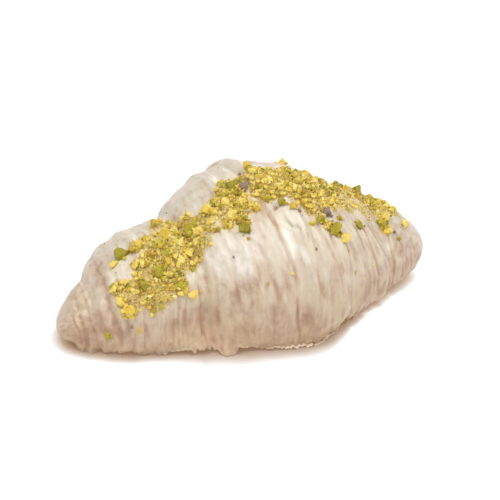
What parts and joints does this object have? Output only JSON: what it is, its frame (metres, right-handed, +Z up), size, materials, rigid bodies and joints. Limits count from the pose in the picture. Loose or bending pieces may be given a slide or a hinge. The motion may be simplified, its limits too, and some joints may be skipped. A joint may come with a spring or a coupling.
{
  "type": "croissant",
  "caption": "Croissant of rolled layered dough in a coat of white icing with a ragged lower lip, strewn along its crest with chopped pistachios.",
  "frame": {"origin": "on the flat underside, at the table's height, under the middle of the croissant's length", "axes": "+X along the croissant towards its higher right tip, +Y to its back, +Z up; the side with the broad strewn patch faces -Y"},
  "size_m": [0.154, 0.0883, 0.0576],
  "materials": {
    "baked_crust": "matte browned crust",
    "white_icing": "satin set icing"
  },
  "bodies": {
    "root": {"pastry": "baked_crust", "icing": "white_icing"}
  },
  "joints": []
}
